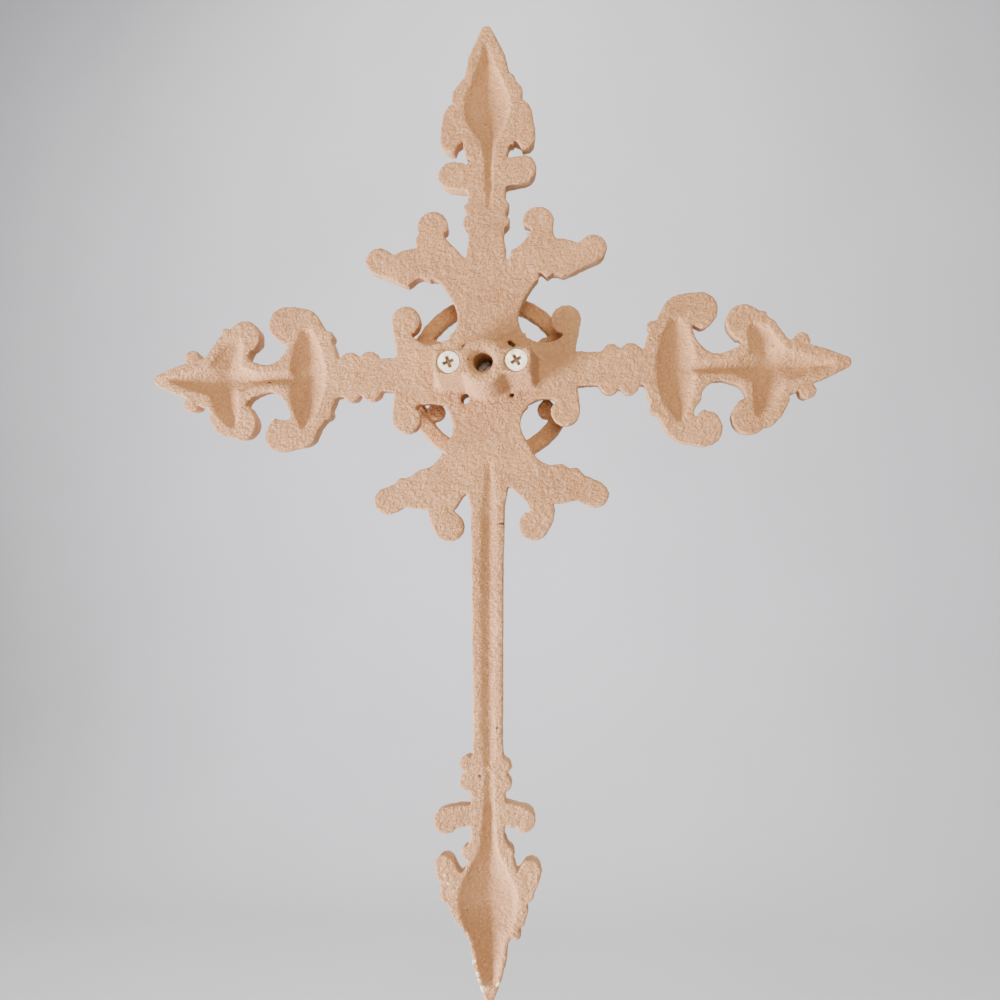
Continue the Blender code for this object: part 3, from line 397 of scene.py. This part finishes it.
def cut(obj, cutter_mesh):
    """Takes a closed mesh out of an object."""
    data = bpy.data.meshes.new("cutter")
    cutter_mesh.to_mesh(data)
    cutter_mesh.free()
    cutter = new_object("cutter", data)
    modifier = obj.modifiers.new("cut", "BOOLEAN")
    modifier.operation = "DIFFERENCE"
    modifier.solver = "EXACT"
    modifier.object = cutter
    obj.data = evaluated_mesh(obj)
    bpy.data.objects.remove(cutter)


def finished(mesh, name):
    data = bpy.data.meshes.new(name)
    mesh.to_mesh(data)
    mesh.free()
    return new_object(name, data)


def make_screw(node, u, turn):
    """A countersunk screw with a cross recess."""
    stations = [
        (0.24, 2.6),
        (0.3, 4.2),
        (0.2, 4.45),
        (0.25, 4.75),
        (0.42, 4.95),
        (0.62, 4.95),
        (3.4, 2.42),
        (36.6, 2.4),
        (38.1, 1.5),
    ]
    made = finished(lathe(u, 0.0, stations, SCREW_SIDES), node + "_shown")
    cut(made, cross_cutter(u, 0.0, RECESS_REACH, RECESS_HALF_WIDTH, -0.4, RECESS_DEPTH, turn))
    made.data.shade_smooth()
    made.data.set_sharp_from_angle(angle=SHARP_ANGLE)
    return made


def make_centre_screw():
    """The slotted screw at the bottom of the bore."""
    stations = [
        (HEAD_DEPTH, 3.3),
        (15.72, 3.7),
        (16.0, 3.88),
        (18.2, 3.88),
        (18.2, 1.6),
        (34.8, 1.6),
        (35.6, 0.8),
    ]
    made = finished(lathe(0.0, 0.0, stations, HEAD_SIDES), "centre_screw_shown")
    slot = bmesh.new()
    bmesh.ops.create_cube(slot, size=1.0)
    size = Matrix.Diagonal((*(side * MM for side in SLOT_SIZE), 1.0))
    move = Matrix.Translation((0, -HEAD_DEPTH * MM, 0)) @ Matrix.Rotation(math.radians(SLOT_TURN), 4, "Y")
    bmesh.ops.transform(slot, matrix=move @ size, verts=slot.verts)
    cut(made, slot)
    made.data.shade_smooth()
    made.data.set_sharp_from_angle(angle=SHARP_ANGLE)
    return made


# Materials
class Nodes:
    """A small helper that adds and joins shader nodes."""

    def __init__(self, name):
        self.material = bpy.data.materials.new(name)
        self.material.use_nodes = True
        self.tree = self.material.node_tree
        self.shader = self.tree.nodes["Principled BSDF"]
        coords = self.tree.nodes.new("ShaderNodeTexCoord")
        self.place = coords.outputs["Object"]

    def link(self, source, target):
        self.tree.links.new(source, target)

    def noise(self, scale, detail=3.0, roughness=0.5, vector=None):
        node = self.tree.nodes.new("ShaderNodeTexNoise")
        node.inputs["Scale"].default_value = scale
        node.inputs["Detail"].default_value = detail
        node.inputs["Roughness"].default_value = roughness
        self.link(vector or self.place, node.inputs["Vector"])
        return node.outputs["Fac"]

    def stretched(self, scale, turn=(0.0, 0.0, 0.0)):
        node = self.tree.nodes.new("ShaderNodeMapping")
        node.vector_type = "TEXTURE"
        node.inputs["Scale"].default_value = scale
        node.inputs["Rotation"].default_value = turn
        self.link(self.place, node.inputs["Vector"])
        return node.outputs["Vector"]

    def ramp(self, source, low, high, start=0.0, end=1.0):
        node = self.tree.nodes.new("ShaderNodeMapRange")
        node.inputs["From Min"].default_value = low
        node.inputs["From Max"].default_value = high
        node.inputs["To Min"].default_value = start
        node.inputs["To Max"].default_value = end
        self.link(source, node.inputs["Value"])
        return node.outputs["Result"]

    def mix(self, share, first, second):
        node = self.tree.nodes.new("ShaderNodeMix")
        node.data_type = "RGBA"
        self.link(share, node.inputs["Factor"])
        for socket, value in ((node.inputs[6], first), (node.inputs[7], second)):
            if isinstance(value, tuple):
                socket.default_value = (*value, 1.0)
            else:
                self.link(value, socket)
        return node.outputs[2]

    def math(self, kind, first, second):
        node = self.tree.nodes.new("ShaderNodeMath")
        node.operation = kind
        for socket, value in zip(node.inputs, (first, second)):
            if isinstance(value, float):
                socket.default_value = value
            else:
                self.link(value, socket)
        return node.outputs["Value"]

    def near(self, centre, radius, ragged):
        """One inside a ragged round spot, nought outside it."""
        node = self.tree.nodes.new("ShaderNodeVectorMath")
        node.operation = "DISTANCE"
        node.inputs[1].default_value = centre
        self.link(self.place, node.inputs[0])
        reach = self.math("ADD", node.outputs["Value"], ragged)
        return self.ramp(reach, radius, radius * 0.8)

    def bump(self, height, strength, distance, normal=None):
        node = self.tree.nodes.new("ShaderNodeBump")
        node.inputs["Strength"].default_value = strength
        node.inputs["Distance"].default_value = distance
        self.link(height, node.inputs["Height"])
        if normal:
            self.link(normal, node.inputs["Normal"])
        return node.outputs["Normal"]


# Pale chips in the paint: where they lie, as seen from behind, and their radius, in millimetres.
CHIPS = [
    (-6.4, -259.8, 1.3),
    (-4.8, -264.8, 1.2),
    (-4.0, -267.2, 1.0),
    (-2.5, -270.9, 1.5),
    (4.5, -268.5, 1.1),
    (-19.0, -224.0, 0.6),
    (-17.3, -227.3, 0.8),
    (-15.0, -230.6, 0.6),
]

# Dark pits in the shaft, given in the same way. The last four make a short crack at the edge.
PITS = [
    (1.2, -85.5, 0.55),
    (4.2, -160.4, 0.6),
    (-3.4, -181.3, 0.65),
    (4.6, -70.3, 0.5),
    (5.5, -70.2, 0.5),
    (6.4, -70.1, 0.55),
    (7.3, -70.1, 0.6),
]


def spots(made, rows, ragged):
    """The share of paint covered by ragged spots on the back plane."""
    total = None
    for u, v, radius in rows:
        spot = made.near((-u * MM, -BACK_PLANE * MM, v * MM), radius * MM, ragged)
        total = spot if total is None else made.math("MAXIMUM", total, spot)
    return total


def paint(name, chips):
    """Matt brown paint on sand-cast iron."""
    made = Nodes(name)
    broad = made.noise(38.0, 3.0, 0.55)
    colour = made.mix(made.ramp(broad, 0.35, 0.68), (0.455, 0.220, 0.092), (0.565, 0.290, 0.127))
    grain_place = made.stretched((1.35, 1.0, 0.9), (0.0, math.radians(38), 0.0))
    grain = made.noise(920.0, 3.0, 0.55, grain_place)
    colour = made.mix(made.ramp(grain, 0.54, 0.74, 0.0, 0.55), colour, (0.70, 0.45, 0.29))
    colour = made.mix(made.ramp(grain, 0.46, 0.26, 0.0, 0.45), colour, (0.26, 0.135, 0.070))
    pits = made.noise(260.0, 2.0, 0.5)
    pit = made.ramp(pits, 0.735, 0.78)
    colour = made.mix(pit, colour, (0.085, 0.05, 0.035))
    if chips:
        ragged = made.ramp(made.noise(900.0, 2.0, 0.5), 0.3, 0.7, -0.0005, 0.0007)
        even = made.ramp(made.noise(1200.0, 2.0, 0.5), 0.3, 0.7, -0.0002, 0.0002)
        colour = made.mix(spots(made, PITS, even), colour, (0.07, 0.035, 0.02))
        colour = made.mix(spots(made, CHIPS, ragged), colour, (0.90, 0.76, 0.50))
    made.link(colour, made.shader.inputs["Base Color"])
    made.link(made.ramp(grain, 0.3, 0.7, 0.62, 0.84), made.shader.inputs["Roughness"])
    made.shader.inputs["Specular IOR Level"].default_value = 0.35
    soft = made.bump(made.noise(330.0, 3.0, 0.6), 0.6, 0.0010)
    fine = made.bump(grain, 1.0, 0.0013, soft)
    made.link(fine, made.shader.inputs["Normal"])
    return made.material


def zinc():
    """Pale zinc plate, dulled and a little stained."""
    made = Nodes("pale_zinc")
    stains = made.noise(420.0, 3.0, 0.6)
    colour = made.mix(made.ramp(stains, 0.5, 0.72), (0.93, 0.88, 0.74), (0.68, 0.58, 0.42))
    depth = made.tree.nodes.new("ShaderNodeSeparateXYZ")
    made.link(made.place, depth.inputs["Vector"])
    inside = made.ramp(depth.outputs["Y"], -0.00045, -0.00085)
    colour = made.mix(inside, colour, (0.30, 0.165, 0.075))
    made.link(colour, made.shader.inputs["Base Color"])
    made.link(made.ramp(inside, 0.0, 1.0, 0.55, 0.0), made.shader.inputs["Metallic"])
    made.link(made.ramp(stains, 0.3, 0.7, 0.34, 0.55), made.shader.inputs["Roughness"])
    made.link(made.bump(made.noise(1500.0, 2.0, 0.5), 0.2, 0.0001), made.shader.inputs["Normal"])
    return made.material


def dark_steel():
    """Dulled steel with brown staining."""
    made = Nodes("dull_steel")
    stains = made.noise(520.0, 3.0, 0.6)
    colour = made.mix(made.ramp(stains, 0.42, 0.66), (0.34, 0.31, 0.28), (0.17, 0.10, 0.06))
    made.link(colour, made.shader.inputs["Base Color"])
    made.shader.inputs["Metallic"].default_value = 0.7
    made.link(made.ramp(stains, 0.3, 0.7, 0.35, 0.6), made.shader.inputs["Roughness"])
    made.link(made.bump(stains, 0.3, 0.0002), made.shader.inputs["Normal"])
    return made.material


def backdrop_paper():
    made = Nodes("backdrop_paper")
    tone = made.mix(made.ramp(made.noise(3.0, 2.0, 0.5), 0.3, 0.7), (0.66, 0.66, 0.67), (0.69, 0.69, 0.70))
    made.link(tone, made.shader.inputs["Base Color"])
    made.shader.inputs["Roughness"].default_value = 0.9
    return made.material


def painted(obj, material):
    obj.data.materials.clear()
    obj.data.materials.append(material)


def placed_on(piece, node, material):
    painted(piece, material)
    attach(piece, "root")
    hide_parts(node)


# The pale sweep, in metres: its floor's height, its wall, the bend between them and its size.
FLOOR_LEVEL = -0.75
WALL_PLACE = -1.7
SWEEP_BEND = 0.6
SWEEP_STEPS = 12
SWEEP_HALF_WIDTH = 3.6


def make_stage():
    """A pale sweep: a floor that curves up into a backdrop, well clear of the object."""
    foot = WALL_PLACE + SWEEP_BEND
    profile = [(2.6, FLOOR_LEVEL), (0.4, FLOOR_LEVEL), (foot, FLOOR_LEVEL)]
    for i in range(1, SWEEP_STEPS + 1):
        turn = math.pi / 2 * i / SWEEP_STEPS
        profile.append((foot - SWEEP_BEND * math.sin(turn), FLOOR_LEVEL + SWEEP_BEND * (1 - math.cos(turn))))
    profile += [(WALL_PLACE, 0.8), (WALL_PLACE, 3.4)]
    mesh = bmesh.new()
    rows = [[mesh.verts.new((x, y, z)) for y, z in profile] for x in (-SWEEP_HALF_WIDTH, SWEEP_HALF_WIDTH)]
    for i in range(len(profile) - 1):
        mesh.faces.new([rows[0][i], rows[0][i + 1], rows[1][i + 1], rows[1][i]])
    bmesh.ops.recalc_face_normals(mesh, faces=mesh.faces)
    floor = finished(mesh, "pale_sweep")
    floor.data.shade_smooth()
    painted(floor, backdrop_paper())


def area_light(name, place, aim, size, power, colour):
    data = bpy.data.lights.new(name, "AREA")
    data.shape = "DISK"
    data.size = size
    data.energy = power
    data.color = colour
    made = bpy.data.objects.new(name, data)
    bpy.context.scene.collection.objects.link(made)
    made.location = place
    made.rotation_euler = (Vector(aim) - Vector(place)).to_track_quat("-Z", "Y").to_euler()
    made.visible_camera = False


# Lights: name, place, what they are aimed at, size in metres, power in watts and colour.
LIGHTS = [
    ("key", (1.05, 0.30, -0.62), (0, -0.02, -0.03), 0.6, 96.0, (0.88, 0.88, 1.0)),
    ("over_camera", (-0.25, 1.3, 0.35), (0, 0, -0.04), 1.1, 21.0, (1.0, 0.90, 0.72)),
    ("front_fill", (-0.6, -0.9, 0.8), (0, 0, -0.04), 0.6, 10.0, (1.0, 0.97, 0.94)),
    ("backdrop_wash", (0.2, -0.6, 1.3), (0, -1.7, -0.2), 2.2, 22.0, (1.0, 0.99, 0.98)),
]
ROOM_COLOUR = (0.93, 0.95, 1.0, 1.0)
ROOM_STRENGTH = 0.36


def make_lights():
    for row in LIGHTS:
        area_light(*row)
    world = bpy.data.worlds.new("soft_room")
    world.use_nodes = True
    background = world.node_tree.nodes["Background"]
    background.inputs["Color"].default_value = ROOM_COLOUR
    background.inputs["Strength"].default_value = ROOM_STRENGTH
    bpy.context.scene.world = world


def make_camera():
    data = bpy.data.cameras.new("camera")
    data.lens = CAMERA_LENS
    data.sensor_width = CAMERA_SENSOR
    data.clip_start = 0.01
    data.clip_end = 20.0
    made = bpy.data.objects.new("camera", data)
    bpy.context.scene.collection.objects.link(made)
    turn = Matrix((CAMERA_RIGHT, CAMERA_UP, CAMERA_BACK)).transposed().to_4x4()
    made.matrix_world = Matrix.Translation(CAMERA_PLACE) @ turn
    bpy.context.scene.camera = made


make_camera()
brown = paint("brown_paint", True)
placed_on(make_casting(), "cross_casting", brown)
placed_on(make_wheel(), "front_wheel", paint("brown_ring_paint", False))
pale = zinc()
for node_name, place_u in SCREW_PLACES.items():
    placed_on(make_screw(node_name, place_u, SCREW_TURNS[node_name]), node_name, pale)
placed_on(make_centre_screw(), "centre_screw", dark_steel())
make_stage()
make_lights()
